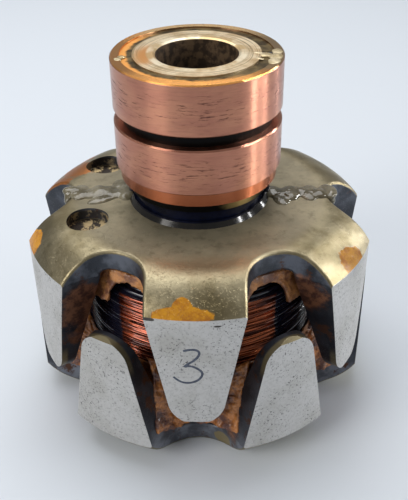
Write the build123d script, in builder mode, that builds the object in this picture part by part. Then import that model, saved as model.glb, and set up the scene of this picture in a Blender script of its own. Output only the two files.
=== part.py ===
from build123d import *

import os
from math import asin, cos, radians, sin

# A claw-pole alternator rotor: two forged claws are pressed on a steel hub with the field winding
# between them, and two copper slip rings sit on the hub's long nose. It stands on its rear face.
# The origin is on the axis in that face, +Z points to the slip rings, and -Y to the front finger.

# Claws
rotor_radius = 36.5
finger_count = 6
body_height = 45.5
shoulder_width = 10.5
shoulder_drop = 5.8
plate_hub_thickness = 8.0
plate_edge_thickness = 4.0
finger_length = 25.7
finger_root_half_width = 9.6
finger_tip_radius = 5.6
finger_root_thickness = 8.2
finger_tip_thickness = 2.4
tip_bevel_height = 0.6
tip_bevel_width = 1.0
finger_root_fillet = 1.5
valley_depth = 9.5
edge_round = 0.7

# Hub and bore
hub_radius = 12.5
nose_height = 76.5
bore_radius = 8.05
mouth_chamfer_width = 0.5
mouth_chamfer_depth = 0.3
bolt_hole_radius = 4.25
bolt_seat_height = 31.0
taper_depth = 23.0
taper_mouth_radius = 10.4
taper_inner_radius = 8.2
core_radius = 17.5

# Balance drillings in the ring-side claw, each as distance from the axis and angle from the front
balance_hole_radius = 4.3
balance_hole_depth = 2.4
balance_point_depth = 1.3
balance_holes = [(24.8, -64.5), (25.2, -121.0)]

# Field winding, its bobbin and its insulation
wire_diameter = 1.05
winding_end_gap = 7.5
winding_clearance = 0.4
bobbin_wall = 1.0
insulation_thickness = 1.1
insulation_chamfer = 0.6
skirt_bend_drop = 4.2
petal_tip_margin = 3.0
petal_finger_gap = 0.5
petal_side_margin = 3.0
window_radius = 4.6
window_rim = 2.6
window_leg = 1.2
wrap_height = 9.3
wrap_thickness = 0.55
fit_gap = 0.15

# Slip rings, their carrier and the collar below them
ring_radius = 16.86
ring_wall = 1.86
ring_spacing = 2.6
ring_height_difference = 0.75
ring_foot_height = 2.65
ring_foot_step = 0.76
ring_edge_break = 0.3
carrier_recess = 0.3
carrier_foot_height = 2.2
carrier_foot_step = 0.4
collar_radius = 13.9
collar_height = 3.9
collar_lip_height = 1.3
collar_waist = 0.5
bead_width = 0.8
bead_height = 0.9

# Leads from the winding to the rings, in grooves under ridges of resin
lead_radius = 0.65
lead_groove_depth = 1.2
lead_end_inset = 1.0
resin_width = 5.6
resin_height = 0.75
resin_overhang = 1.6

# Solder on the rings, each sector as the angle of its middle and half its spread
solder_height = 0.45
solder_inset = 0.5
solder_reach = 1.6
solder_spans = {"solder_joint": (82, 16), "solder_dab": (-79, 7)}

face_radius = rotor_radius - shoulder_width
valley_radius = rotor_radius - valley_depth
shoulder_radius = (shoulder_width**2 + shoulder_drop**2) / (2 * shoulder_drop)
shoulder_middle = asin(shoulder_width / shoulder_radius) / 2
finger_root_height = body_height - shoulder_drop
finger_tip_height = finger_root_height - finger_length
finger_root_inner = rotor_radius - finger_root_thickness
finger_tip_inner = rotor_radius - finger_tip_thickness
plate_edge_height = body_height - plate_edge_thickness
plate_hub_height = body_height - plate_hub_thickness
plate_slope = (plate_edge_height - plate_hub_height) / (finger_root_inner - core_radius)
pitch = 360 / finger_count
valley_round = valley_radius - finger_root_half_width / sin(radians(pitch / 2))

bobbin_radius = core_radius + bobbin_wall
skirt_inner = valley_radius - insulation_thickness
skirt_bend_height = plate_edge_height - skirt_bend_drop
petal_tip_height = finger_tip_height + petal_tip_margin
finger_taper = (finger_tip_inner - finger_root_inner) / (plate_edge_height - finger_tip_height)
petal_tip_outer = finger_tip_inner - petal_tip_margin * finger_taper - petal_finger_gap
skirt_slope = (petal_tip_outer - valley_radius) / (skirt_bend_height - petal_tip_height)
winding_radius = skirt_inner - winding_clearance
winding_room = 2 * plate_edge_height - body_height - 2 * winding_end_gap
winding_turns = int(winding_room / wire_diameter)
winding_top = (body_height + winding_turns * wire_diameter) / 2
wrap_inner = winding_radius + fit_gap
wrap_outer = wrap_inner + wrap_thickness
wrap_bottom = body_height - skirt_bend_height + (wrap_outer + fit_gap - skirt_inner) / skirt_slope

ring_bore = ring_radius - ring_wall
collar_top = body_height + collar_height
lower_ring_bottom = collar_top + carrier_foot_height
lower_ring_step = lower_ring_bottom + ring_foot_height
ring_tracks = nose_height - ring_spacing - lower_ring_step
lower_ring_top = lower_ring_step + (ring_tracks - ring_height_difference) / 2
upper_ring_bottom = lower_ring_top + ring_spacing
carrier_top = nose_height - carrier_recess

lead_room = lead_radius + fit_gap
lead_riser = ring_bore - lead_room
lead_drop = valley_radius + lead_room
lead_level = body_height - lead_groove_depth + lead_room
lead_end = winding_radius - lead_end_inset
middle_plane = Plane.XY.offset(body_height / 2)


def plate_underside(radius):
    """Height of the ring-side claw's underside at a distance from the axis."""
    return plate_hub_height + plate_slope * (radius - core_radius)


def gap_half_width(radius, finger_half_width):
    """Half the gap between two neighbouring fingers, at a distance from the axis."""
    return radius * sin(radians(pitch / 2) - asin(finger_half_width / radius))


def turned(points):
    """A ring turned round the axis from a closed profile of (radius, height) points."""
    with BuildPart() as ring:
        with BuildSketch(Plane.XZ):
            with BuildLine():
                Polyline(*points, close=True)
            make_face()
        revolve(axis=Axis.Z)
    return ring.part


def rear_copy(part):
    """The rear claw's counterpart of a ring-side piece: turned over, and by half a pitch."""
    with BuildPart() as copy:
        with PolarLocations(0, 1, start_angle=pitch / 2):
            add(mirror(part, about=middle_plane, mode=Mode.PRIVATE))
    return copy.part


def at_angle(radius, angle):
    """A point in plan at a distance from the axis and an angle from the front."""
    return radius * sin(radians(angle)), -radius * cos(radians(angle))


# One finger, seen from the front: a straight root band and a round tip with a hull round both
with BuildPart() as finger:
    with BuildSketch(Plane.XZ):
        with Locations((0, finger_root_height + shoulder_drop / 2)):
            Rectangle(2 * finger_root_half_width, shoulder_drop)
        with Locations((0, finger_tip_height + finger_tip_radius)):
            Circle(finger_tip_radius)
        make_hull()
    extrude(amount=rotor_radius + shoulder_drop)

# The forging's turned shape: a dished plate with a rounded shoulder and a tapering skirt
with BuildPart() as blank:
    with BuildSketch(Plane.XZ):
        with BuildLine():
            face_line = Line((hub_radius, body_height), (face_radius, body_height))
            shoulder = ThreePointArc(
                face_line @ 1,
                (face_radius + shoulder_radius * sin(shoulder_middle),
                 body_height - shoulder_radius * (1 - cos(shoulder_middle))),
                (rotor_radius, finger_root_height),
            )
            inside = FilletPolyline(
                shoulder @ 1,
                (rotor_radius, finger_tip_height + tip_bevel_height),
                (rotor_radius - tip_bevel_width, finger_tip_height),
                (finger_tip_inner, finger_tip_height),
                (finger_root_inner, plate_edge_height),
                (core_radius, plate_hub_height),
                (hub_radius, plate_hub_height),
                radius=(0, 0, 0, finger_root_fillet, 0),
            )
            Line(inside @ 1, face_line @ 0)
        make_face()
    revolve(axis=Axis.Z)

# A claw: the star-shaped plate with its six fingers, cut from the turned shape
with BuildPart() as claw:
    with BuildSketch(Plane.XY.offset(finger_root_height)):
        with PolarLocations(0, finger_count // 2, start_angle=90, angular_range=180):
            Rectangle(2 * (rotor_radius + shoulder_drop), 2 * finger_root_half_width)
        star_corners = [
            vertex for vertex in vertices()
            if (vertex.X**2 + vertex.Y**2) ** 0.5 < valley_radius
        ]
        fillet(star_corners, valley_round)
    extrude(amount=shoulder_drop)
    with BuildSketch(Plane.XY.offset(plate_hub_height)):
        Circle(valley_radius)
    extrude(amount=plate_hub_thickness)
    with PolarLocations(0, finger_count):
        add(finger.part)
    add(blank.part, mode=Mode.INTERSECT)
    shoulder_edges = claw.faces().filter_by(GeomType.TORUS).edges()
    fillet(
        shoulder_edges.filter_by(
            lambda edge: edge.length > finger_root_fillet
            and abs(edge.center().Z - finger_root_height) > edge_round
            and (edge.center().X ** 2 + edge.center().Y ** 2) ** 0.5 > face_radius
        ),
        edge_round,
    )

with BuildPart() as balance_drill:
    with BuildSketch(Plane.XZ):
        with BuildLine():
            Polyline(
                (0, shoulder_drop),
                (balance_hole_radius, shoulder_drop),
                (balance_hole_radius, -balance_hole_depth),
                (0, -balance_hole_depth - balance_point_depth),
                close=True,
            )
        make_face()
    revolve(axis=Axis.Z)

with BuildPart() as upper_claw:
    add(claw.part)
    for distance, angle in balance_holes:
        with Locations((*at_angle(distance, angle), body_height)):
            add(balance_drill.part, mode=Mode.SUBTRACT)
    with BuildSketch(Plane.XY.offset(body_height)):
        Rectangle(2 * rotor_radius, 2 * lead_room)
    extrude(amount=-lead_groove_depth, mode=Mode.SUBTRACT)

lower_claw = rear_copy(claw.part)

# Hub: a tube with a long nose, a seat for the bolt half way down and a taper for the crank below
hub = turned([
    (taper_mouth_radius, 0),
    (hub_radius, 0),
    (hub_radius, nose_height),
    (bore_radius + mouth_chamfer_width, nose_height),
    (bore_radius, nose_height - mouth_chamfer_depth),
    (bore_radius, bolt_seat_height),
    (bolt_hole_radius, bolt_seat_height),
    (bolt_hole_radius, taper_depth),
    (taper_inner_radius, taper_depth),
])
pole_core = turned([
    (hub_radius, body_height - plate_hub_height),
    (core_radius, body_height - plate_hub_height),
    (core_radius, plate_hub_height),
    (hub_radius, plate_hub_height),
])

# Insulation under each claw: a dished flange, and a skirt with an arched window in each valley,
# whose petals narrow below the arches and lie hidden under the fingers
flange_hub_top = plate_underside(core_radius + fit_gap) - fit_gap
flange_edge_top = plate_underside(valley_radius) - fit_gap
window_middle = flange_edge_top - window_rim - window_radius
window_foot = window_middle - window_leg
finger_narrowing = (finger_root_half_width - finger_tip_radius) / (
    finger_root_height - finger_tip_height - finger_tip_radius)
petal_root_half_width = (
    finger_root_half_width - finger_narrowing * (finger_root_height - window_foot) - petal_side_margin)
with BuildPart() as window:
    with BuildSketch(Plane.XZ.offset(winding_radius - wire_diameter)):
        with Locations((0, window_middle)):
            Circle(window_radius)
        with Locations((0, window_middle - window_leg / 2)):
            Rectangle(2 * window_radius, window_leg)
        with BuildLine():
            petal_gap = gap_half_width(valley_radius, petal_root_half_width)
            tip_gap = gap_half_width(petal_tip_outer, finger_tip_radius - petal_side_margin)
            Polyline(
                (petal_gap, window_foot),
                (tip_gap, petal_tip_height - fit_gap),
                (-tip_gap, petal_tip_height - fit_gap),
                (-petal_gap, window_foot),
                close=True,
            )
        make_face()
    extrude(amount=rotor_radius)

with BuildPart() as upper_insulator:
    add(turned([
        (core_radius + fit_gap, flange_hub_top - insulation_thickness),
        (core_radius + fit_gap, flange_hub_top),
        (valley_radius - insulation_chamfer, plate_underside(valley_radius - insulation_chamfer) - fit_gap),
        (valley_radius, flange_edge_top - insulation_chamfer),
        (valley_radius, skirt_bend_height),
        (petal_tip_outer, petal_tip_height),
        (petal_tip_outer - insulation_thickness, petal_tip_height),
        (skirt_inner, skirt_bend_height),
        (skirt_inner, plate_underside(skirt_inner) - fit_gap - insulation_thickness),
    ]))
    with PolarLocations(0, finger_count, start_angle=pitch / 2):
        add(window.part, mode=Mode.SUBTRACT)
lower_insulator = rear_copy(upper_insulator.part)

bobbin_top = flange_hub_top - insulation_thickness - fit_gap
bobbin = turned([
    (core_radius + fit_gap, body_height - bobbin_top),
    (bobbin_radius, body_height - bobbin_top),
    (bobbin_radius, bobbin_top),
    (core_radius + fit_gap, bobbin_top),
])

# Field winding: a bevelled coil whose outer layer has a ridge for each turn of the wire
wire_radius = wire_diameter / 2
winding_bottom = body_height - winding_top
with BuildPart() as field_winding:
    with BuildSketch(Plane.XZ):
        with BuildLine():
            inner_top = bobbin_top - fit_gap
            Polyline(
                (winding_radius - wire_radius, winding_top),
                (bobbin_radius + fit_gap, inner_top),
                (bobbin_radius + fit_gap, body_height - inner_top),
                (winding_radius - wire_radius, winding_bottom),
            )
            for turn in range(winding_turns):
                start = winding_bottom + turn * wire_diameter
                Polyline(
                    (winding_radius - wire_radius, start),
                    (winding_radius, start + wire_radius),
                    (winding_radius - wire_radius, start + wire_diameter),
                )
        make_face()
    revolve(axis=Axis.Z)

winding_wrap = turned([
    (wrap_inner, wrap_bottom),
    (wrap_outer, wrap_bottom),
    (wrap_outer, wrap_bottom + wrap_height),
    (wrap_inner, wrap_bottom + wrap_height),
])

# Slots beside the hub's nose, where the leads climb to their rings
slot_tops = {-1: upper_ring_bottom, 1: nose_height}
with BuildPart() as lead_slots:
    for side, slot_top in slot_tops.items():
        with BuildSketch(Plane.XY.offset(body_height)):
            with Locations((side * ring_bore, 0)):
                Rectangle(4 * lead_room, 2 * lead_room)
        extrude(amount=slot_top - body_height)


def slotted(part):
    """The same piece with the slots for the two leads cut into its outside."""
    with BuildPart() as piece:
        add(part)
        add(lead_slots.part, mode=Mode.SUBTRACT)
    return piece.part


# Moulding that carries the rings, the collar under it and the bead of varnish round the collar
carrier_foot_radius = ring_bore - carrier_foot_step
slip_ring_carrier = slotted(turned([
    (hub_radius, collar_top),
    (carrier_foot_radius, collar_top),
    (carrier_foot_radius, lower_ring_bottom),
    (ring_bore, lower_ring_bottom),
    (ring_bore, carrier_top),
    (hub_radius, carrier_top),
]))
collar = slotted(turned([
    (hub_radius, body_height),
    (collar_radius, body_height),
    (collar_radius, body_height + collar_lip_height),
    (collar_radius - collar_waist, body_height + collar_lip_height),
    (collar_radius - collar_waist, collar_top),
    (hub_radius, collar_top),
]))
varnish_bead = slotted(turned([
    (collar_radius, body_height),
    (collar_radius + bead_width, body_height),
    (collar_radius, body_height + bead_height),
]))


def slip_ring(points):
    """A turned copper ring with its outer corners broken."""
    with BuildPart() as ring:
        add(turned(points))
        corners = ring.edges().filter_by(GeomType.CIRCLE)
        chamfer(corners.filter_by(lambda edge: edge.radius > ring_radius - fit_gap), ring_edge_break)
    return ring.part


slip_ring_upper = slip_ring([
    (ring_bore, upper_ring_bottom),
    (ring_radius, upper_ring_bottom),
    (ring_radius, nose_height),
    (ring_bore, nose_height),
])
slip_ring_lower = slip_ring([
    (ring_bore, lower_ring_bottom),
    (ring_radius - ring_foot_step, lower_ring_bottom),
    (ring_radius - ring_foot_step, lower_ring_step),
    (ring_radius, lower_ring_step),
    (ring_radius, lower_ring_top),
    (ring_bore, lower_ring_top),
])

# Leads: out of the winding, up the valley, along the groove and up the slot to a ring
lead_tops = {-1: upper_ring_bottom - fit_gap, 1: carrier_top}
lead_end_height = winding_top + lead_room + lead_end_inset * (inner_top - winding_top) / (
    winding_radius - wire_radius - bobbin_radius)


def lead(side):
    """One lead: a round wire along its route, with bends that hug the claw's corners."""
    with BuildPart() as wire:
        with BuildLine(Plane.XZ):
            route = FilletPolyline(
                (side * lead_end, lead_end_height),
                (side * lead_drop, lead_end_height),
                (side * lead_drop, lead_level),
                (side * lead_riser, lead_level),
                (side * lead_riser, lead_tops[side]),
                radius=lead_room,
            )
        with BuildSketch(Plane(route @ 0, z_dir=route % 0)):
            Circle(lead_radius)
        sweep()
    return wire.part


lead_left = lead(-1)
lead_right = lead(1)


def resin(side):
    """A ridge of resin along one lead's groove, from the collar to just past the valley's edge."""
    near = collar_radius + bead_width + fit_gap
    far = lead_drop + resin_overhang
    with BuildPart() as ridge:
        with BuildSketch(Plane.YZ.offset(near)):
            with BuildLine():
                crest = ThreePointArc(
                    (-resin_width / 2, body_height),
                    (0, body_height + resin_height),
                    (resin_width / 2, body_height),
                )
                Polyline(
                    crest @ 1,
                    (lead_room, body_height - lead_groove_depth),
                    (-lead_room, body_height - lead_groove_depth),
                    crest @ 0,
                )
            make_face()
        extrude(amount=far - near)
        add(upper_claw.part, mode=Mode.SUBTRACT)
        add(lead_right, mode=Mode.SUBTRACT)
    if side > 0:
        return ridge.part
    return mirror(ridge.part, about=Plane.YZ, mode=Mode.PRIVATE)


resin_left = resin(-1)
resin_right = resin(1)


def solder(middle, spread):
    """A low mound of solder across the joint between the upper ring and its carrier."""
    inner = ring_bore - solder_reach
    outer = ring_radius - solder_inset
    with BuildPart() as mound:
        with BuildSketch(Plane.XZ):
            with BuildLine():
                crown = ThreePointArc(
                    (inner, carrier_top),
                    (ring_bore, nose_height + solder_height),
                    (outer, nose_height),
                )
                Polyline(crown @ 1, (ring_bore, nose_height), (ring_bore, carrier_top), crown @ 0)
            make_face()
        revolve(axis=Axis.Z, revolution_arc=2 * spread)
    with BuildPart() as placed:
        with PolarLocations(0, 1, start_angle=middle - 90 - spread):
            add(mound.part)
    return placed.part


solder_joint = solder(*solder_spans["solder_joint"])
solder_dab = solder(*solder_spans["solder_dab"])

pieces = {
    "hub": hub,
    "pole_core": pole_core,
    "upper_claw": upper_claw.part,
    "lower_claw": lower_claw,
    "upper_insulator": upper_insulator.part,
    "lower_insulator": lower_insulator,
    "bobbin": bobbin,
    "field_winding": field_winding.part,
    "winding_wrap": winding_wrap,
    "slip_ring_carrier": slip_ring_carrier,
    "slip_ring_upper": slip_ring_upper,
    "slip_ring_lower": slip_ring_lower,
    "collar": collar,
    "varnish_bead": varnish_bead,
    "lead_left": lead_left,
    "lead_right": lead_right,
    "resin_left": resin_left,
    "resin_right": resin_right,
    "solder_joint": solder_joint,
    "solder_dab": solder_dab,
}

os.makedirs("parts", exist_ok=True)
for name, piece in pieces.items():
    piece.label = name
    export_step(piece, f"parts/{name}.step")
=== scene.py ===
# %% [markdown]
# # An alternator rotor, finished for a photograph
# The solid model comes in as a fixed frame: twenty pieces of steel, copper, moulding and varnish, all
# standing where they belong. This lesson adds what a solid model leaves out. Wire, solder and resin
# get real shapes, and every surface gets a finish built from nodes.

# %% Load the frame
from math import asin, atan2, cos, degrees, radians, sin

import bpy
from mathutils import Matrix, Vector


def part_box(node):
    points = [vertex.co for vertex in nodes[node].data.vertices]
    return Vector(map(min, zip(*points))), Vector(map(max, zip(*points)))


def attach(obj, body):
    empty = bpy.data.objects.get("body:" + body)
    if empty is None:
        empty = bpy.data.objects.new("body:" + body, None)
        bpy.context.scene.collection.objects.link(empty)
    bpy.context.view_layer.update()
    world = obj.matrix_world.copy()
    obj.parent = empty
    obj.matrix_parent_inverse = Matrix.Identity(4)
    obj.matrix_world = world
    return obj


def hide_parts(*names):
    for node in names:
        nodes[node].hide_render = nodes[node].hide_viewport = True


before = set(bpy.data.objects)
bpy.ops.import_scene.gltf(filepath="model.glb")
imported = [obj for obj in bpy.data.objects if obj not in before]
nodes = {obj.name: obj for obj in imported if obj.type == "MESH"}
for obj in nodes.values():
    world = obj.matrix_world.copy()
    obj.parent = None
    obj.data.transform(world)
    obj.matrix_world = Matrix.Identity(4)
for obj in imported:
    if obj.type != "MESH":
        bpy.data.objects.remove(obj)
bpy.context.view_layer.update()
MM = 0.001

# %% [markdown]
# Sizes repeat from the solid model. The main ones are read from the frame's boxes, so the scene
# follows the model, and the few that a box can't tell are named here in millimetres.

# %% Sizes read from the model
def top(name):
    """Height of a node's highest point, in millimetres."""
    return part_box(name)[1][2] / MM


def bottom(name):
    """Height of a node's lowest point, in millimetres."""
    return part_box(name)[0][2] / MM


def reach(name):
    """Radius of a node that is round about the axis, in millimetres."""
    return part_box(name)[1][0] / MM


rotor_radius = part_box("upper_claw")[1][1] / MM
body_height = top("upper_claw")
ring_radius = reach("slip_ring_upper")
nose_height = top("hub")
winding_radius = reach("field_winding")
shoulder_drop = 5.8
wire_diameter = 1.05
print("rotor radius", round(rotor_radius, 2), "body height", round(body_height, 2))


def around(radius, angle, height):
    """A point in metres from its distance to the axis, its angle from the front and its height."""
    turn = radians(angle)
    return Vector((radius * sin(turn), -radius * cos(turn), height)) * MM


# %% [markdown]
# ## The camera first
# The photograph was taken from just above, close to the rotor, so the ring end looks large and the
# body narrows downwards. The camera stands where the outlines of rings, fingers and base all agree.
# Its lens is set by the tall side of the frame, because that is the side Blender fits.

# %% Camera
camera_distance = 152.72
camera_height = 132.45
camera_azimuth = 1.83
camera_tilt = 33.63
camera_pan = 0.32
camera_roll = -0.77
focal_pixels = 824.64
frame_height_pixels = 500
sensor_size = 36.0

camera_data = bpy.data.cameras.new("camera")
camera_data.sensor_width = sensor_size
camera_data.lens = focal_pixels / frame_height_pixels * sensor_size
camera = bpy.data.objects.new("camera", camera_data)
bpy.context.scene.collection.objects.link(camera)
tilt, pan, roll = radians(camera_tilt), radians(camera_pan), radians(camera_roll)
forward = Vector((sin(pan) * cos(tilt), cos(pan) * cos(tilt), -sin(tilt)))
side = forward.cross(Vector((0, 0, 1))).normalized()
upward = side.cross(forward)
right = cos(roll) * side + sin(roll) * upward
overhead = -sin(roll) * side + cos(roll) * upward
facing = Matrix((right, overhead, -forward)).transposed().to_4x4()
swing = Matrix.Rotation(radians(camera_azimuth), 4, "Z")
camera.matrix_world = swing @ Matrix.Translation(
    (0, -camera_distance * MM, camera_height * MM)) @ facing
camera_data.clip_start = 0.01
bpy.context.scene.camera = camera
print("lens in mm:", round(camera_data.lens, 2))

# %% [markdown]
# ## Nodes by name
# A finish is a small network of nodes. These helpers keep each network short enough to read: `node`
# adds one node and wires it, and the others are the few patterns that every finish here uses.

# %% Node helpers
def finish_material(name):
    """A new material with its shader, and the list of its nodes."""
    material = bpy.data.materials.new(name)
    material.use_nodes = True
    tree = material.node_tree
    return material, tree, tree.nodes["Principled BSDF"]


def add(tree, kind, *inputs, **settings):
    """Adds a node, applies its settings, and wires or sets its inputs in order."""
    made = tree.nodes.new("ShaderNode" + kind)
    for key, value in settings.items():
        setattr(made, key, value)
    for socket, value in zip(made.inputs, inputs):
        if isinstance(value, bpy.types.NodeSocket):
            tree.links.new(value, socket)
        elif value is not None:
            socket.default_value = value
    return made


def node(tree, kind, *inputs, **settings):
    """The same, giving the node's first output."""
    return add(tree, kind, *inputs, **settings).outputs[0]


def length(tree, vector):
    """How long a vector is."""
    return add(tree, "VectorMath", vector, operation="LENGTH").outputs["Value"]


def calc(tree, operation, *inputs):
    """One step of arithmetic."""
    return node(tree, "Math", *inputs, operation=operation)


def fade(tree, value, low, high):
    """0 below low, 1 above high, and smooth between; it runs backwards where low is above high."""
    return node(tree, "MapRange", value, low, high, 0.0, 1.0, interpolation_type="SMOOTHSTEP")


def blend(tree, factor, first, second):
    """The first colour where factor is 0 and the second where it is 1."""
    made = tree.nodes.new("ShaderNodeMix")
    made.data_type = "RGBA"
    for index, value in ((0, factor), (6, first), (7, second)):
        if isinstance(value, bpy.types.NodeSocket):
            tree.links.new(value, made.inputs[index])
        elif index == 0:
            made.inputs[index].default_value = value
        else:
            made.inputs[index].default_value = (*value, 1.0)
    return made.outputs[2]


def grain(tree, vector, scale, detail=4.0, roughness=0.6):
    """Cloudy noise between 0 and 1."""
    made = tree.nodes.new("ShaderNodeTexNoise")
    tree.links.new(vector, made.inputs["Vector"])
    made.inputs["Scale"].default_value = scale
    made.inputs["Detail"].default_value = detail
    made.inputs["Roughness"].default_value = roughness
    return made.outputs["Fac"]


def stretched(tree, vector, scale):
    """The same place with each axis scaled, so that a pattern runs longer one way."""
    return node(tree, "VectorMath", vector, scale, operation="MULTIPLY")


# %% [markdown]
# ## Patterns and dressing
# Most marks on the rotor lie at a distance from its axis, at an angle or at a height, so `polar` gives
# those three. `patch` makes one ragged blot, `dent` makes bump, and `dress` gives a finish to the
# fixed pieces of the solid model.

# %% Patterns and dressing
def tree_place(tree):
    """Place on the object."""
    return add(tree, "TexCoord").outputs["Object"]


def polar(tree):
    """Place, distance from the axis in metres, angle in radians and height in metres."""
    place = tree_place(tree)
    split = add(tree, "SeparateXYZ", place)
    distance = length(tree, node(tree, "VectorMath", place, (1.0, 1.0, 0.0), operation="MULTIPLY"))
    angle = calc(tree, "ARCTAN2", split.outputs["X"], calc(tree, "MULTIPLY", split.outputs["Y"], -1.0))
    return place, distance, angle, split.outputs["Z"]


def dent(tree, shader, height, depth_mm, strength=1.0):
    """Bump from a height between 0 and 1, as deep as depth_mm."""
    made = tree.nodes.new("ShaderNodeBump")
    made.inputs["Strength"].default_value = strength
    made.inputs["Distance"].default_value = depth_mm * MM
    tree.links.new(height, made.inputs["Height"])
    tree.links.new(made.outputs["Normal"], shader.inputs["Normal"])


def patch(tree, place, centre, size, ragged=0.35, scale=500.0, soft=0.05):
    """A ragged blot about a point: 1 inside, 0 outside. size is its half-widths in millimetres."""
    offset = node(tree, "VectorMath", place, centre, operation="SUBTRACT")
    scaled = node(tree, "VectorMath", offset, [1 / (v * MM) for v in size], operation="MULTIPLY")
    distance = length(tree, scaled)
    wobble = calc(tree, "MULTIPLY_ADD", grain(tree, place, scale), ragged * 2, -ragged)
    return fade(tree, calc(tree, "ADD", distance, wobble), 1.0 + soft, 1.0 - soft)


def dress(names, material):
    """Gives CAD nodes a finish."""
    for name in names:
        mesh = nodes[name].data
        mesh.materials.clear()
        mesh.materials.append(material)
    print(material.name, "on", ", ".join(names))


# %% [markdown]
# ## Claw steel
# Each claw is one forging with three faces. The plate and shoulders keep an olive-gold passivation,
# the valley walls are raw blue-grey scale under brown varnish, and the pole faces are ground bare.
# One network serves all three: distance from the axis finds the ground faces, and the surface's
# normal tells a wall from a shoulder. Amber drips of varnish are blots at the places that have them.
# Some shade is painted in as well: the steep shoulders and the deeper walls are darkened, and the drilled
# holes are painted dark with gold glints.

# %% Claw finish
def layered(tree, colour, blots, tint, soft=0.05):
    """Lays blots of one tint over a colour. Each blot is a centre, its half-widths and its raggedness."""
    for centre, size, ragged in blots:
        spot = patch(tree, tree_place(tree), centre, size, ragged, 380.0, soft)
        colour = blend(tree, spot, colour, tint)
    return colour


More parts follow.
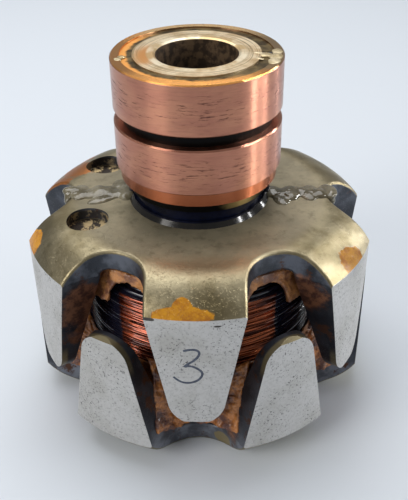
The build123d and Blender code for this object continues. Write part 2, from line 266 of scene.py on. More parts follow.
def claw_steel(name, outward, marks):
    """The claws' finish. outward is +1 or -1, the way that the claw's plate faces along Z."""
    material, tree, shader = finish_material(name)
    place, distance, angle, height = polar(tree)
    normal = add(tree, "SeparateXYZ", add(tree, "TexCoord").outputs["Normal"])
    facing_out = calc(tree, "MULTIPLY", normal.outputs["Z"], float(outward))
    cloudy = grain(tree, place, 90.0)
    mottled = grain(tree, place, 420.0, 5.0, 0.7)
    fine = grain(tree, place, 1500.0, 3.0)

    gold = blend(tree, fade(tree, cloudy, 0.35, 0.65), (0.19, 0.155, 0.085), (0.34, 0.295, 0.19))
    olive = blend(tree, fade(tree, cloudy, 0.3, 0.7), (0.205, 0.18, 0.12), (0.32, 0.28, 0.185))
    plate = blend(tree, fade(tree, distance, 24.5 * MM, 28.0 * MM), olive, gold)
    plate = blend(tree, calc(tree, "MULTIPLY", fade(tree, mottled, 0.50, 0.70), 0.45), plate,
                  (0.085, 0.07, 0.035))
    patina = fade(tree, grain(tree, place, 65.0, 5.0), 0.50, 0.68)
    plate = blend(tree, calc(tree, "MULTIPLY", patina, 0.45), plate, (0.11, 0.095, 0.055))
    # Painted shade: the plate is darkened where the shoulder turns steep.
    steep_shoulder_shade = fade(tree, facing_out, 0.80, 0.45)
    plate = blend(tree, calc(tree, "MULTIPLY", steep_shoulder_shade, 0.5), plate, (0.13, 0.105, 0.055))
    plate = layered(tree, plate, marks["tan"], (0.26, 0.20, 0.12), 0.7)
    plate = layered(tree, plate, marks["rust_and_bore_shade"], (0.42, 0.16, 0.045), 0.15)

    inward = calc(tree, "MULTIPLY_ADD", height, -float(outward), max(outward, 0) * body_height * MM)
    scale = blend(tree, fade(tree, grain(tree, place, 160.0), 0.42, 0.62), *marks["scale"])
    # Painted shade: the scale darkens deeper into each valley, away from the plate.
    scale = blend(tree, calc(tree, "MULTIPLY", fade(tree, inward, 4.0 * MM, 10.0 * MM), 0.75), scale,
                  (0.016, 0.018, 0.026))
    varnish = fade(tree, grain(tree, place, 150.0, 6.0, 0.7), 0.57, 0.63)
    wall = blend(tree, varnish, scale, (0.085, 0.036, 0.020))
    drip = blend(tree, fade(tree, mottled, 0.42, 0.60), (0.27, 0.12, 0.065), (0.09, 0.038, 0.028))
    wall = layered(tree, wall, marks["varnish"], drip, 0.2)
    wall = layered(tree, wall, marks["dab"], (0.26, 0.21, 0.11))
    wall_mask = fade(tree, facing_out, 0.33, 0.16)
    bevel = calc(tree, "MULTIPLY", fade(tree, distance, 34.9 * MM, 35.5 * MM), wall_mask)
    bevel = calc(tree, "MULTIPLY", bevel, fade(tree, inward, 23.0 * MM, 26.5 * MM))
    wall = blend(tree, calc(tree, "MULTIPLY", bevel, 0.9), wall, (0.17, 0.14, 0.075))
    colour = blend(tree, wall_mask, plate, wall)

    drilled = 0.0
    for centre, radius in marks["drilled"]:
        round_hole = patch(tree, place, centre, (radius, radius, 9.0), 0.0)
        sunk = fade(tree, height, (body_height - 0.3) * MM, (body_height - 0.7) * MM)
        drilled = calc(tree, "MAXIMUM", drilled, calc(tree, "MULTIPLY", round_hole, sunk))
    # Painted shade and glints: the drilled holes are near black, flecked with gold glints.
    chips_and_hole_shade_glint = blend(tree, fade(tree, mottled, 0.48, 0.58), (0.022, 0.016, 0.012), (0.42, 0.32, 0.17))
    colour = blend(tree, drilled, colour, chips_and_hole_shade_glint)

    amber = 0.0
    for centre, size, ragged in marks["amber"]:
        amber = calc(tree, "MAXIMUM", amber, patch(tree, place, centre, size, ragged, 330.0))
    honey = blend(tree, fade(tree, mottled, 0.4, 0.65), (0.56, 0.25, 0.010), (0.36, 0.13, 0.008))
    colour = blend(tree, amber, colour, honey)

    ground_mask = fade(tree, distance, (rotor_radius - 0.05) * MM, (rotor_radius - 0.02) * MM)
    ground_mask = calc(tree, "MULTIPLY", ground_mask, fade(tree, facing_out, 0.7, 0.5))
    specks = fade(tree, grain(tree, place, 2100.0, 3.0, 0.7), 0.565, 0.65)
    pitted = fade(tree, grain(tree, place, 120.0, 4.0), 0.40, 0.62)
    specks = calc(tree, "MULTIPLY", specks, calc(tree, "MULTIPLY_ADD", pitted, 0.6, 0.3))
    smudge = fade(tree, grain(tree, place, 110.0, 5.0), 0.4, 0.75)
    bare = blend(tree, smudge, (0.50, 0.50, 0.495), (0.40, 0.395, 0.375))
    bare = blend(tree, calc(tree, "MULTIPLY", fade(tree, fine, 0.45, 0.7), 0.35), bare,
                 (0.30, 0.30, 0.295))
    bare = blend(tree, specks, bare, (0.045, 0.045, 0.05))
    bare = layered(tree, bare, marks["chips_and_hole_shade_glint"], (0.05, 0.045, 0.04))
    colour = blend(tree, ground_mask, colour, bare)
    tree.links.new(colour, shader.inputs["Base Color"])

    flat_part = fade(tree, distance, 28.5 * MM, 25.0 * MM)
    rough = calc(tree, "MULTIPLY_ADD", fine, 0.25, 0.25)
    rough = calc(tree, "MULTIPLY_ADD", flat_part, 0.15, rough)
    rough = calc(tree, "MULTIPLY_ADD", ground_mask, 0.22, rough)
    rough = calc(tree, "MULTIPLY_ADD", amber, -0.2, rough)
    tree.links.new(rough, shader.inputs["Roughness"])
    metal = calc(tree, "MULTIPLY_ADD", wall_mask, -0.3, 0.95)
    metal = calc(tree, "MULTIPLY_ADD", flat_part, -0.4, metal)
    metal = calc(tree, "MULTIPLY_ADD", amber, -0.9, metal)
    metal = calc(tree, "MULTIPLY_ADD", ground_mask, -0.35, metal)
    tree.links.new(calc(tree, "MAXIMUM", metal, 0.0), shader.inputs["Metallic"])

    scratches = grain(tree, stretched(tree, place, (60.0, 60.0, 1500.0)), 1.0, 3.0)
    relief = calc(tree, "MULTIPLY_ADD", fine, 0.4, calc(tree, "MULTIPLY", scratches, 0.3))
    relief = calc(tree, "MULTIPLY_ADD", cloudy, 2.2, relief)
    relief = calc(tree, "MULTIPLY_ADD", mottled, 0.7, relief)
    relief = calc(tree, "MULTIPLY_ADD", specks, -0.8, relief)
    dent(tree, shader, relief, 0.06, 0.6)
    return material


# %% [markdown]
# ## Where the claws are marked
# Each mark is a centre, its half-widths in millimetres and how ragged its edge is. The places are read
# from the photograph: amber drips over three pole faces, rust on the far shoulder, varnish down the
# valley walls, and two drillings that balance the rotor.

# %% Marks on the claws
edge_height = body_height - shoulder_drop
upper_marks = {
    "scale": ((0.035, 0.040, 0.050), (0.11, 0.12, 0.145)),
    "amber": [
        (around(36.2, -4.0, edge_height + 0.5), (5.6, 3.5, 1.7), 0.35),
        (around(36.0, -3.8, edge_height + 2.0), (2.0, 3.5, 1.6), 0.3),
        (around(36.0, 59.0, edge_height + 0.8), (4.4, 3.4, 3.0), 0.4),
        (around(36.0, -70.0, edge_height + 1.2), (2.6, 3.4, 3.2), 0.4),
    ],
    "tan": [
        (around(27.0, 6.0, body_height), (11.0, 2.6, 2.5), 0.6),
    ],
    "rust_and_bore_shade": [
        (around(30.5, -113.0, body_height - 0.5), (5.4, 4.0, 2.6), 0.8),
        (around(33.0, -102.0, body_height - 2.5), (4.4, 3.4, 3.4), 0.8),
        (around(33.5, -125.0, body_height - 2.5), (3.2, 3.0, 3.4), 0.8),
    ],
    "varnish": [
        (around(32.5, -44.5, edge_height - 7.5), (4.6, 4.6, 6.5), 0.6),
        (around(31.5, 41.0, edge_height - 4.0), (4.6, 4.6, 4.2), 0.6),
        (around(34.0, -44.0, edge_height - 16.0), (3.0, 3.0, 4.0), 0.5),
    ],
    "dab": [],
    "drilled": [
        (around(24.8, -64.5, body_height), 4.4),
        (around(25.2, -121.0, body_height), 4.4),
    ],
    "chips_and_hole_shade_glint": [
        (around(rotor_radius, -14.0, edge_height - 0.2), (1.5, 1.5, 0.5), 0.7),
        (around(rotor_radius, 6.5, edge_height - 1.3), (0.7, 0.7, 0.22), 0.7),
    ],
}
lower_marks = {
    "scale": ((0.07, 0.075, 0.09), (0.20, 0.215, 0.25)),
    "amber": [], "tan": [], "rust_and_bore_shade": [], "drilled": [], "chips_and_hole_shade_glint": [],
    "varnish": [
        (around(31.0, 18.0, 6.0), (3.5, 3.5, 4.0), 0.5),
        (around(30.0, -17.0, 9.0), (3.5, 3.5, 4.5), 0.5),
        (around(35.0, -40.0, 10.0), (3.0, 3.0, 6.0), 0.6),
    ],
    "dab": [(around(29.4, 10.0, 2.2), (2.2, 2.4, 1.6), 0.3)],
}
dress(["upper_claw"], claw_steel("claw_steel_upper", 1, upper_marks))
dress(["lower_claw"], claw_steel("claw_steel_lower", -1, lower_marks))

# %% [markdown]
# ## Slip rings
# The brushes polish the copper, so it is satin and pink, with fine scratches that run round the ring
# and a few dark streaks where carbon has caught. Scratches are noise that is stretched along the
# angle: high frequency up the ring and low frequency round it. The top edge was turned and heated
# by the solder, so it is a deeper orange.

# %% Copper finish
def worn_copper(name):
    """Slip ring copper with brush tracks."""
    material, tree, shader = finish_material(name)
    place, distance, angle, height = polar(tree)
    round_about = calc(tree, "MULTIPLY", angle, 3.0)
    along = calc(tree, "MULTIPLY", height, 1 / MM)
    track = node(tree, "CombineXYZ", round_about, along, 0.0)
    lines = grain(tree, stretched(tree, track, (0.9, 5.0, 1.0)), 1.0, 6.0, 0.75)
    streaks = grain(tree, stretched(tree, track, (1.6, 2.6, 1.0)), 1.0, 6.0, 0.75)
    cloudy = grain(tree, stretched(tree, track, (0.7, 0.25, 1.0)), 1.0, 3.0)

    pink = blend(tree, fade(tree, cloudy, 0.3, 0.7), (0.56, 0.26, 0.165), (0.47, 0.205, 0.14))
    colour = blend(tree, calc(tree, "MULTIPLY", fade(tree, lines, 0.45, 0.7), 0.55), pink,
                   (0.36, 0.155, 0.115))
    middle = 0.0
    for level in track_levels:
        near = calc(tree, "ABSOLUTE", calc(tree, "SUBTRACT", height, level * MM))
        middle = calc(tree, "MAXIMUM", middle, fade(tree, near, 3.4 * MM, 1.0 * MM))
    soot = calc(tree, "MULTIPLY", fade(tree, streaks, 0.53, 0.64),
                calc(tree, "MULTIPLY_ADD", middle, 0.75, 0.2))
    colour = blend(tree, soot, colour, (0.10, 0.045, 0.045))
    end_face = fade(tree, height, (nose_height - 0.35) * MM, (nose_height - 0.1) * MM)
    to_right = calc(tree, "MULTIPLY_ADD", grain(tree, place, 170.0), 1.6, calc(tree, "ABSOLUTE",
                    calc(tree, "SUBTRACT", angle, -0.6)))
    bright = blend(tree, fade(tree, to_right, 2.1, 2.8), (0.80, 0.37, 0.10), (0.50, 0.33, 0.16))
    colour = blend(tree, end_face, colour, bright)
    foot = fade(tree, distance, (ring_radius - 0.45) * MM, (ring_radius - 0.65) * MM)
    foot = calc(tree, "MULTIPLY", foot, fade(tree, height, (ring_step + 0.3) * MM, ring_step * MM))
    colour = blend(tree, foot, colour, (0.40, 0.13, 0.06))
    # Painted highlight: a bright line runs along the lower ring's step.
    step_painted_highlight = calc(tree, "ABSOLUTE", calc(tree, "SUBTRACT", height, ring_step * MM))
    colour = blend(tree, fade(tree, step_painted_highlight, 0.22 * MM, 0.08 * MM), colour, (0.85, 0.46, 0.30))
    tree.links.new(colour, shader.inputs["Base Color"])
    shader.inputs["Metallic"].default_value = 1.0
    shader.inputs["Anisotropic"].default_value = 1.0
    shader.inputs["Anisotropic Rotation"].default_value = 0.25
    brushed = add(tree, "Tangent", direction_type="RADIAL", axis="Z")
    tree.links.new(brushed.outputs["Tangent"], shader.inputs["Tangent"])
    rough = calc(tree, "MULTIPLY_ADD", lines, 0.08, 0.19)
    rough = calc(tree, "MULTIPLY_ADD", soot, 0.2, rough)
    tree.links.new(rough, shader.inputs["Roughness"])
    dent(tree, shader, lines, 0.02, 0.5)
    return material


ring_step = bottom("slip_ring_lower") + 2.65
track_levels = [(bottom("slip_ring_upper") + nose_height) / 2, (ring_step + top("slip_ring_lower")) / 2]
dress(["slip_ring_upper", "slip_ring_lower"], worn_copper("ring_copper"))

# %% [markdown]
# ## The hub
# Only the end face and the first millimetres of the bore show. The face was turned, so it has
# concentric tool marks. The bore's mouth is worn to a golden edge, and its rough wall is painted
# dark as shade inside the bore, clouded with rusty brown.

# %% Hub finish
def turned_steel(name):
    """Turned steel with concentric marks on its end face."""
    material, tree, shader = finish_material(name)
    place, distance, angle, height = polar(tree)
    rings = node(tree, "CombineXYZ", calc(tree, "MULTIPLY", distance, 4200.0),
                 calc(tree, "MULTIPLY", angle, 0.8), calc(tree, "MULTIPLY", height, 900.0))
    marks = grain(tree, rings, 1.0, 3.0, 0.7)
    cloudy = grain(tree, place, 220.0, 5.0)
    face = blend(tree, fade(tree, cloudy, 0.35, 0.65), (0.62, 0.45, 0.25), (0.88, 0.74, 0.52))
    face = blend(tree, calc(tree, "MULTIPLY", fade(tree, marks, 0.46, 0.62), 0.75), face,
                 (0.22, 0.15, 0.07))
    stain = patch(tree, place, around(9.8, -80, nose_height), (2.0, 4.5, 2.0), 0.6, soft=0.6)
    face = blend(tree, stain, face, (0.64, 0.30, 0.09))
    mouth = fade(tree, distance, 10.1 * MM, 9.5 * MM)
    gilt = blend(tree, fade(tree, cloudy, 0.4, 0.6), (0.60, 0.43, 0.22), (0.92, 0.82, 0.62))
    colour = blend(tree, calc(tree, "MULTIPLY", mouth, 0.8), face, gilt)
    # Painted shade: inside the bore the wall is near black, clouded with rusty brown.
    inside = fade(tree, distance, 8.15 * MM, 8.08 * MM)
    rust_and_bore_shade = blend(tree, fade(tree, grain(tree, place, 700.0), 0.4, 0.62), (0.04, 0.025, 0.015),
                 (0.14, 0.09, 0.05))
    colour = blend(tree, inside, colour, rust_and_bore_shade)
    tree.links.new(colour, shader.inputs["Base Color"])
    tree.links.new(calc(tree, "MULTIPLY_ADD", inside, -0.4, 1.0), shader.inputs["Metallic"])
    rough = calc(tree, "MULTIPLY_ADD", marks, 0.2, 0.28)
    rough = calc(tree, "MULTIPLY_ADD", inside, 0.3, rough)
    tree.links.new(rough, shader.inputs["Roughness"])
    dent(tree, shader, calc(tree, "MULTIPLY_ADD", cloudy, 0.8, marks), 0.04, 0.6)
    return material


dress(["hub", "pole_core"], turned_steel("hub_steel"))

# %% [markdown]
# ## Mouldings, varnish and board
# Six simpler finishes share one recipe: two colours clouded together, a roughness that follows the
# cloud, and bump. The settings differ because varnish is glossy, board is fibrous and paper is rough.

# %% Shared recipe for soft materials
def clouded(name, dark, light, scale, gloss, rough_spread, depth, coat=0.0, metal=0.0):
    """Two colours clouded together, with matching roughness and bump."""
    material, tree, shader = finish_material(name)
    place, distance, angle, height = polar(tree)
    cloud = grain(tree, place, scale, 6.0, 0.65)
    fine = grain(tree, place, scale * 7, 3.0)
    colour = blend(tree, fade(tree, cloud, 0.36, 0.64), dark, light)
    colour = blend(tree, calc(tree, "MULTIPLY", fade(tree, fine, 0.55, 0.75), 0.5), colour,
                   [v * 0.35 for v in dark])
    tree.links.new(colour, shader.inputs["Base Color"])
    tree.links.new(calc(tree, "MULTIPLY_ADD", fine, rough_spread, gloss), shader.inputs["Roughness"])
    shader.inputs["Metallic"].default_value = metal
    shader.inputs["Coat Weight"].default_value = coat
    shader.inputs["Coat Roughness"].default_value = 0.12
    dent(tree, shader, calc(tree, "MULTIPLY_ADD", fine, 0.35, cloud), depth, 0.9)
    return material


board = clouded("insulation_board", (0.17, 0.06, 0.028), (0.60, 0.26, 0.08), 330.0, 0.3, 0.3, 0.5, 0.3)
paper = clouded("insulation_paper", (0.085, 0.028, 0.020), (0.58, 0.215, 0.045), 300.0, 0.25, 0.3, 0.5, 0.3)
bobbin_finish = clouded("bobbin_moulding", (0.03, 0.02, 0.015), (0.07, 0.045, 0.03), 150.0, 0.5, 0.2, 0.1)
navy = clouded("collar_moulding", (0.002, 0.003, 0.007), (0.005, 0.007, 0.022), 120.0, 0.12, 0.1, 0.05)
black = clouded("dark_varnish", (0.003, 0.003, 0.003), (0.012, 0.010, 0.008), 120.0, 0.07, 0.1, 0.02)
tin = clouded("solder", (0.36, 0.28, 0.15), (0.62, 0.53, 0.36), 300.0, 0.3, 0.3, 0.25, 0.0, 1.0)

# %% [markdown]
# ## The carrier's finish
# The moulding under the rings is stained by heat and varnish on its end face, most of all on the left,
# and it is nearly black in the shade between the rings.

# %% Carrier finish
def carrier_moulding():
    """The carrier's finish: varnished olive on its end, and nearly black in the shade of the rings."""
    material, tree, shader = finish_material("carrier_moulding")
    place, distance, angle, height = polar(tree)
    cloud = grain(tree, stretched(tree, place, (1.0, 1.0, 0.4)), 230.0, 6.0, 0.7)
    end = blend(tree, fade(tree, cloud, 0.4, 0.6), (0.035, 0.022, 0.008), (0.16, 0.115, 0.05))
    rim = fade(tree, calc(tree, "MULTIPLY_ADD", cloud, 3.0 * MM, distance), 14.9 * MM, 15.6 * MM)
    from_left = calc(tree, "ABSOLUTE", calc(tree, "ADD", angle, 0.9))
    rim = calc(tree, "MULTIPLY", rim, fade(tree, from_left, 1.7, 1.1))
    end = blend(tree, rim, end, (0.80, 0.36, 0.09))
    # Painted shade: below the end face, in the gap between the rings, the moulding is near black.
    low = fade(tree, height, (nose_height - 2.0) * MM, (nose_height - 3.0) * MM)
    colour = blend(tree, low, end, (0.001, 0.001, 0.001))
    glint = patch(tree, place, around(14.6, 38, body_height + 4.8), (3.0, 3.0, 1.2), 0.5,
                  soft=0.9)
    colour = blend(tree, glint, colour, (0.30, 0.22, 0.09))
    tree.links.new(colour, shader.inputs["Base Color"])
    tree.links.new(calc(tree, "MULTIPLY", glint, 0.9), shader.inputs["Metallic"])
    tree.links.new(calc(tree, "MULTIPLY_ADD", cloud, 0.4, 0.15), shader.inputs["Roughness"])
    shader.inputs["Specular IOR Level"].default_value = 0.08
    dent(tree, shader, cloud, 0.2, 0.8)
    return material


navy.node_tree.nodes["Principled BSDF"].inputs["Specular IOR Level"].default_value = 0.12
black.node_tree.nodes["Principled BSDF"].inputs["Specular IOR Level"].default_value = 0.35
dress(["upper_insulator", "lower_insulator"], board)
dress(["winding_wrap"], paper)
dress(["slip_ring_carrier"], carrier_moulding())
dress(["bobbin"], bobbin_finish)
dress(["collar"], navy)
dress(["varnish_bead"], black)
dress(["solder_joint", "solder_dab"], tin)

# %% [markdown]
# ## The wire's finish
# Enamelled wire is copper under a dark clear skin, so it is metal with a coat. Its colour shifts from
# turn to turn, because the varnish pooled unevenly, and the noise is stretched round the coil. The
# copper is painted lighter on the right and darker on the left, as light and shade. At the sides of
# each valley and over the last turns the wire is painted black as shade, and black clouds of varnish
# lie over the rest.

# %% Wire finish
turn_count = 21
coil_top = (body_height + turn_count * wire_diameter) / 2


def enamelled(name):
    """Dark enamelled copper wire."""
    material, tree, shader = finish_material(name)
    place, distance, angle, height = polar(tree)
    track = node(tree, "CombineXYZ", calc(tree, "MULTIPLY", angle, 2.2),
                 calc(tree, "MULTIPLY", height, 950.0), 0.0)
    turns = grain(tree, track, 1.0, 2.0)
    cloudy = grain(tree, place, 140.0, 4.0)
    # Painted light and shade: the copper is lighter on the right of the front finger and darker on the
    # left.
    bright = blend(tree, fade(tree, angle, -0.2, 0.3), (0.22, 0.042, 0.012), (0.50, 0.13, 0.045))
    colour = blend(tree, fade(tree, turns, 0.36, 0.60), (0.05, 0.008, 0.004), bright)
    # Painted shade: the wire is near black at the sides of each valley and over the last turns, where
    # fingers and board shade it; black clouds of varnish lie over the rest.
    aside = calc(tree, "ABSOLUTE", angle)
    aside = calc(tree, "MULTIPLY_ADD", cloudy, 0.10, aside)
    shade_and_pooled_varnish = calc(tree, "MULTIPLY", fade(tree, aside, 0.71, 0.735), fade(tree, aside, 1.7, 1.5))
    shade_and_pooled_varnish = calc(tree, "MAXIMUM", shade_and_pooled_varnish, fade(tree, cloudy, 0.63, 0.66))
    shade_and_pooled_varnish = calc(tree, "MAXIMUM", shade_and_pooled_varnish, fade(tree, height, (coil_top - 0.2) * MM, coil_top * MM))
    colour = blend(tree, shade_and_pooled_varnish, colour, (0.010, 0.010, 0.022))
    tree.links.new(colour, shader.inputs["Base Color"])
    tree.links.new(calc(tree, "MULTIPLY_ADD", shade_and_pooled_varnish, -0.9, 0.95), shader.inputs["Metallic"])
    tree.links.new(calc(tree, "MULTIPLY_ADD", cloudy, 0.2, 0.10), shader.inputs["Roughness"])
    shader.inputs["Coat Weight"].default_value = 0.6
    shader.inputs["Coat Roughness"].default_value = 0.08
    return material


wire_finish = enamelled("enamelled_copper")
dress(["field_winding", "lead_left", "lead_right"], wire_finish)

# %% [markdown]
# ## Modelling helpers
# New shapes start as primitives and are finished with modifiers, as by hand. Blender's operators
# work on whatever is selected, so each helper first selects its own object and nothing else.

# %% Modelling helpers
def select_only(piece):
    """Makes piece the only selected object and the active one."""
    bpy.ops.object.select_all(action="DESELECT")
    piece.select_set(True)
    bpy.context.view_layer.objects.active = piece


def modify(piece, kind, **settings):
    """Adds a modifier and applies it."""
    select_only(piece)
    modifier = piece.modifiers.new(kind, kind)
    for key, value in settings.items():
        setattr(modifier, key, value)
    bpy.ops.object.modifier_apply(modifier=modifier.name)


def finish_piece(piece, name, material):
    """Names a piece, gives it its finish and fixes it to the rotor."""
    select_only(piece)
    bpy.ops.object.shade_smooth_by_angle(angle=radians(180))
    piece.name = name
    piece.data.name = name
    piece.data.materials.clear()
    piece.data.materials.append(material)
    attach(piece, "root")
    print(name, "faces:", len(piece.data.polygons))


def join(pieces):
    """Joins several meshes into the first."""
    bpy.ops.object.select_all(action="DESELECT")
    for piece in pieces:
        piece.select_set(True)
    bpy.context.view_layer.objects.active = pieces[0]
    bpy.ops.object.join()
    return pieces[0]


# %% [markdown]
# ## The wire
# The solid model's winding has a plain ridge for each turn. In the valleys between the fingers the
# real turns show, round and a little uneven. One turn is modelled as a torus, and each copy waves up
# and down by about a tenth of a millimetre, so that no two lie quite alike. At the ring end five more
# turns step inwards, where the coil slopes away under the board.

# %% Outer turns of the winding
turn_segments = 150
wire_segments = 10
wire_radius = wire_diameter / 2
layer_radius = winding_radius - wire_radius
end_turns = 5
end_pitch = 0.94 * wire_diameter
end_slope = 0.352
end_step = 0.45

bpy.ops.object.select_all(action="DESELECT")
bpy.ops.mesh.primitive_torus_add(major_radius=layer_radius * MM, minor_radius=wire_radius * MM,
                                 major_segments=turn_segments, minor_segments=wire_segments)
first_turn = bpy.context.object
turns = []
for index in range(turn_count + end_turns):
    copy = bpy.data.objects.new("turn", first_turn.data.copy())
    bpy.context.scene.collection.objects.link(copy)
    inset = max(index - turn_count + 1, 0) * end_pitch
    level = body_height / 2 + (min(index, turn_count - 1) - (turn_count - 1) / 2) * wire_diameter
    level += inset * end_slope + (end_step if inset else 0)
    for vertex in copy.data.vertices:
        angle = atan2(vertex.co.y, vertex.co.x)
        lift = 0.09 * sin(3 * angle + 1.7 * index) + 0.06 * sin(7 * angle + 2.9 * index)
        press = 1 - 0.0022 * (1 + sin(5 * angle + 2.3 * index)) - inset / layer_radius
        vertex.co = (vertex.co.x * press, vertex.co.y * press, vertex.co.z + (level + lift) * MM)
    turns.append(copy)
bpy.data.objects.remove(first_turn)
winding_turns = join(turns)
finish_piece(winding_turns, "winding_turns", wire_finish)

# %% [markdown]
# ## Insulation
# The board was soaked in varnish and baked, so its edges are soft and its skin is lumpy. A copy of
# each board is remeshed into even small faces, and a cloud texture pushes the skin in and out.

# %% Board and paper with a rough skin
clouds = bpy.data.textures.new("board_lumps", "CLOUDS")
clouds.noise_scale = 1.6 * MM
clouds.noise_depth = 3
crumbs = bpy.data.textures.new("crumbs", "CLOUDS")
crumbs.noise_scale = 0.55 * MM


def crumple(piece, coarse, fine):
    """Pushes a skin in and out by two clouds, coarse and fine, in millimetres from end to end."""
    for texture, push in ((clouds, coarse), (crumbs, fine)):
        modify(piece, "DISPLACE", texture=texture, texture_coords="LOCAL", strength=push * MM,
               mid_level=0.5)


def roughened(node_name, name, material, voxel, push):
    """A remeshed and displaced copy of a node, which it replaces."""
    piece = bpy.data.objects.new(name, nodes[node_name].data.copy())
    bpy.context.scene.collection.objects.link(piece)
    select_only(piece)
    bpy.ops.object.mode_set(mode="EDIT")
    bpy.ops.mesh.select_all(action="SELECT")
    bpy.ops.mesh.remove_doubles(threshold=0.001 * MM)
    bpy.ops.object.mode_set(mode="OBJECT")
    modify(piece, "REMESH", mode="VOXEL", voxel_size=voxel * MM)
    modify(piece, "DISPLACE", texture=clouds, texture_coords="LOCAL", strength=push * MM, mid_level=0.6)
    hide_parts(node_name)
    finish_piece(piece, name, material)
    return piece


roughened("upper_insulator", "upper_board", board, 0.45, 0.9)
roughened("lower_insulator", "lower_board", board, 0.45, 0.9)
roughened("winding_wrap", "paper_wrap", paper, 0.3, 0.5)

# %% [markdown]
# ## Drops that melt together
# Resin was dripped along each lead, and it set in beads that ran together. A row of flattened
# spheres gives the beads, a voxel remesh melts them into one skin, and smoothing rounds the joins.
# Solder is made the same way from smaller drops.

# %% Beads melted together
def melted(name, drops, voxel, material, replaced):
    """One lumpy form, in place of a node, from drops: each a centre, its half-widths and its turn."""
    parts = []
    for centre, size, turn in drops:
        bpy.ops.object.select_all(action="DESELECT")
        bpy.ops.mesh.primitive_uv_sphere_add(segments=28, ring_count=14, radius=1, location=centre,
                                             rotation=(0, 0, radians(turn)))
        bpy.context.object.scale = [v * MM for v in size]
        bpy.ops.object.transform_apply(location=True, rotation=True, scale=True)
        parts.append(bpy.context.object)
    piece = join(parts)
    modify(piece, "REMESH", mode="VOXEL", voxel_size=voxel * MM)
    modify(piece, "SMOOTH", factor=0.5, iterations=6)
    crumple(piece, 0.2, 0.08)
    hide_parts(replaced)
    finish_piece(piece, name, material)
    return piece


# %% [markdown]
# ## Resin runs
# Resin is clear and brown, with a little cloud in it. Seven beads follow each lead outwards and sway
# from side to side, and three more make the flat pools beside the collar and the drip at the edge.

# %% Resin
resin, resin_tree, resin_shader = finish_material("amber_resin")
resin_place = tree_place(resin_tree)
resin_cloud = grain(resin_tree, resin_place, 300.0, 4.0)
resin_colour = blend(resin_tree, fade(resin_tree, resin_cloud, 0.35, 0.65), (0.14, 0.12, 0.07),
                     (0.32, 0.29, 0.20))
resin_tree.links.new(resin_colour, resin_shader.inputs["Base Color"])
resin_shader.inputs["Roughness"].default_value = 0.05
resin_shader.inputs["IOR"].default_value = 1.52
resin_shader.inputs["Transmission Weight"].default_value = 0.35
dent(resin_tree, resin_shader, resin_cloud, 0.12, 0.6)

for side_name, turn in (("left", -90), ("right", 90)):
    phase = 0 if side_name == "left" else 2
    drops = []
    for step, distance in enumerate((15.4, 17.4, 19.4, 21.4, 23.4, 25.4, 27.2)):
        sway = 1.6 * sin(1.9 * step + phase)
        size = (2.2, 2.5 + 0.9 * sin(2.7 * step + 1.1 + phase), 0.8 + 0.15 * cos(2.1 * step + phase))
        drops.append((around(distance, turn + sway, body_height - 0.05), size, turn - 90 + 6 * sway))
    drops.append((around(20.5, turn + 8 - 4 * phase, body_height - 0.1), (3.6, 1.5, 0.6), turn - 60))
    drops.append((around(17.5, turn - 11 + phase, body_height - 0.1), (1.8, 2.6, 0.6), turn - 80))
    drops.append((around(27.9, turn, body_height - 1.4), (1.1, 2.0, 1.5), turn - 90))
    melted("resin_run_" + side_name, drops, 0.22, resin, "resin_" + side_name)

# %% [markdown]
# ## Solder
# The right lead is soldered to the end of the upper ring, and the iron left a smear towards the hub. A
# small dab sits on the other side.

# %% Solder
face = nose_height
joint_drops = [
    (around(15.4, 72, face - 0.1), (1.9, 1.3, 0.24), 72),
    (around(15.3, 81, face - 0.1), (1.9, 1.4, 0.28), 81),
    (around(15.5, 91, face - 0.1), (1.7, 1.2, 0.24), 91),
    (around(13.3, 84, face - 0.2), (1.2, 1.5, 0.36), 80),
    (around(11.6, 88, face - 0.1), (0.6, 1.3, 0.18), 88),
    (around(12.3, 74, face - 0.1), (0.5, 1.0, 0.18), 60),
]
melted("solder_smear", joint_drops, 0.13, tin, "solder_joint")
dab_drops = [
    (around(15.4, -76, face - 0.1), (1.0, 0.9, 0.22), -76),
    (around(14.6, -81, face - 0.15), (0.8, 0.9, 0.22), -81),
]
melted("solder_spot", dab_drops, 0.13, tin, "solder_dab")

# %% [markdown]
# ## Folds of soaked paper
# Paper was pushed into the corners between the winding and the rear claw's fingers, and the varnish
# swelled it into rusty folds. One grid is wrapped across each valley from wall to wall. It climbs the
# walls, creases differently in each valley, turns out over the plate's lip, and is then thickened
# and crumpled.

# %% Folds in the rear claw's valleys
finger_root_half = 9.6
finger_tip_half = 5.6
tip_clearance = 8.4
finger_reach = body_height - 2 * shoulder_drop - tip_clearance
finger_slope = (finger_root_half - finger_tip_half) / (finger_reach - finger_tip_half)
sheet_bottom = 5.4
sheet_top = 17.0
wall_climb = 7.0
sheet_radius = winding_radius - 0.2
for valley in range(6):
    bpy.ops.object.select_all(action="DESELECT")
    bpy.ops.mesh.primitive_grid_add(x_subdivisions=110, y_subdivisions=70, size=2)
    sheet = bpy.context.object
    for vertex in sheet.data.vertices:
        across, up = vertex.co.x, (vertex.co.y + 1) / 2
        start = sheet_bottom + 2.2 * across ** 2
        level = start + (sheet_top - start + wall_climb * across ** 2) * up
        crease = 0.5 * sin(5.3 * across + 4 * up + 2 * valley) + 0.4 * sin(9.1 * across - 7 * up + valley)
        lip = 1.5 * max(1 - up / 0.25, 0)
        radius = sheet_radius + crease + lip + 7.0 * abs(across) ** 2.2 * (1 - 0.25 * up)
        half_width = finger_root_half - finger_slope * (level - shoulder_drop)
        wall = 30.5 - degrees(asin(half_width / radius))
        vertex.co = around(radius, 60 * valley + wall * across, level)
    modify(sheet, "SOLIDIFY", thickness=1.1 * MM, offset=0.0)
    crumple(sheet, 1.3, 0.55)
    finish_piece(sheet, "paper_fold_" + str(valley + 1), paper)

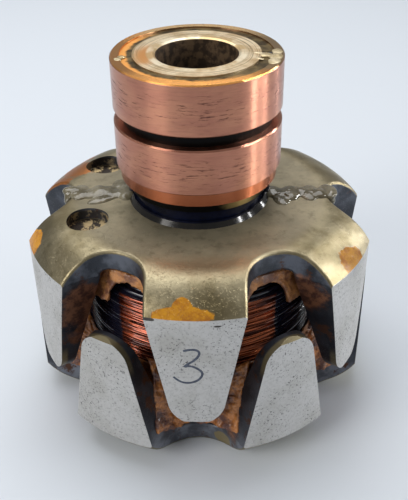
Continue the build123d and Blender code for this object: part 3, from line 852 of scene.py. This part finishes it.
# %% [markdown]
# ## An inked numeral
# The test bench marks a good rotor with a quick stroke of ink on one pole face. The stroke is a
# curve with a round section. It becomes a mesh, and each of its points is then wrapped round the
# pole face, so that the ink is a film that stands only hundredths of a millimetre proud.

# %% Ink
ink_width = 0.52
ink_film = 0.03
ink_path = ((-2.3, 32.7), (-0.6, 33.3), (0.9, 32.6), (0.3, 30.9), (-2.6, 28.7), (-0.9, 29.3),
            (1.5, 27.6), (0.6, 25.5), (-1.6, 24.7), (-3.4, 25.2), (-4.3, 26.2))

ink_curve = bpy.data.curves.new("ink", "CURVE")
ink_curve.dimensions = "3D"
ink_curve.bevel_depth = ink_width / 2 * MM
ink_curve.bevel_resolution = 2
ink_curve.use_fill_caps = True
stroke = ink_curve.splines.new("NURBS")
stroke.points.add(len(ink_path) - 1)
for point, (across, up) in zip(stroke.points, ink_path):
    point.co = (across * MM, 0, up * MM, 1)
stroke.order_u = 3
stroke.use_endpoint_u = True
ink = bpy.data.objects.new("ink", ink_curve)
bpy.context.scene.collection.objects.link(ink)
select_only(ink)
bpy.ops.object.convert(target="MESH")
ink = bpy.context.object
for vertex in ink.data.vertices:
    turn = vertex.co.x / (rotor_radius * MM)
    radius = rotor_radius * MM - vertex.co.y * 2 * ink_film / ink_width
    vertex.co = (radius * sin(turn), -radius * cos(turn), vertex.co.z)
ink_finish = clouded("ink", (0.035, 0.045, 0.075), (0.07, 0.085, 0.12), 900.0, 0.5, 0.2, 0.02)
finish_piece(ink, "ink_mark", ink_finish)

# %% [markdown]
# ## Stage and light
# The rotor stands on a pale table under soft light, as in a workshop by a window. A broad panel
# overhead lights the plate and the hub's face, a key panel at the left models the fingers, and a low
# fill opens the shade at the right. Three narrow strips draw the bright upright lines on the copper.
# They light glossy surfaces only, so that they don't burn into the table.

# %% Floor, world and lights
bpy.ops.object.select_all(action="DESELECT")
bpy.ops.mesh.primitive_plane_add(size=3, location=(0, 0, -0.0002))
floor = bpy.context.object
floor.name = "floor"
floor_finish, _, floor_shader = finish_material("floor")
floor_shader.inputs["Base Color"].default_value = (0.66, 0.71, 0.775, 1)
floor_shader.inputs["Roughness"].default_value = 0.7
floor.data.materials.append(floor_finish)

world = bpy.context.scene.world or bpy.data.worlds.new("world")
bpy.context.scene.world = world
world.use_nodes = True
sky = world.node_tree.nodes["Background"]
sky.inputs["Color"].default_value = (0.80, 0.80, 0.80, 1)
sky.inputs["Strength"].default_value = 0.42
bpy.context.scene.view_settings.view_transform = "Standard"


def panel(name, position, target_height, width, tall, watts, colour=(1.0, 1.0, 1.0)):
    """A soft rectangular light that faces the rotor."""
    data = bpy.data.lights.new(name, "AREA")
    data.shape = "RECTANGLE"
    data.size = width
    data.size_y = tall
    data.energy = watts
    data.color = colour
    light = bpy.data.objects.new(name, data)
    bpy.context.scene.collection.objects.link(light)
    place = Vector(position)
    direction = Vector((0, 0, target_height)) - place
    light.matrix_world = Matrix.Translation(place) @ direction.to_track_quat("-Z", "Y").to_matrix().to_4x4()
    print(name, "watts", watts)
    return light


panel("overhead", (-0.08, 0.21, 0.52), 0.04, 0.55, 0.45, 2.4)
panel("fill", (0.50, -0.03, 0.07), 0.03, 0.25, 0.22, 0.9)
panel("key", (-0.45, -0.35, 0.35), 0.03, 0.30, 0.35, 2.0, (1.0, 0.97, 0.93))
for number, (turn, width, watts) in enumerate(((76, 0.008, 0.9), (94, 0.006, 0.6), (122, 0.010, 0.6))):
    place = (0.36 * sin(radians(turn)), -0.36 * cos(radians(turn)), 0.20)
    strip = panel("strip_" + str(number + 1), place, 0.05, width, 0.36, watts)
    strip.visible_diffuse = False
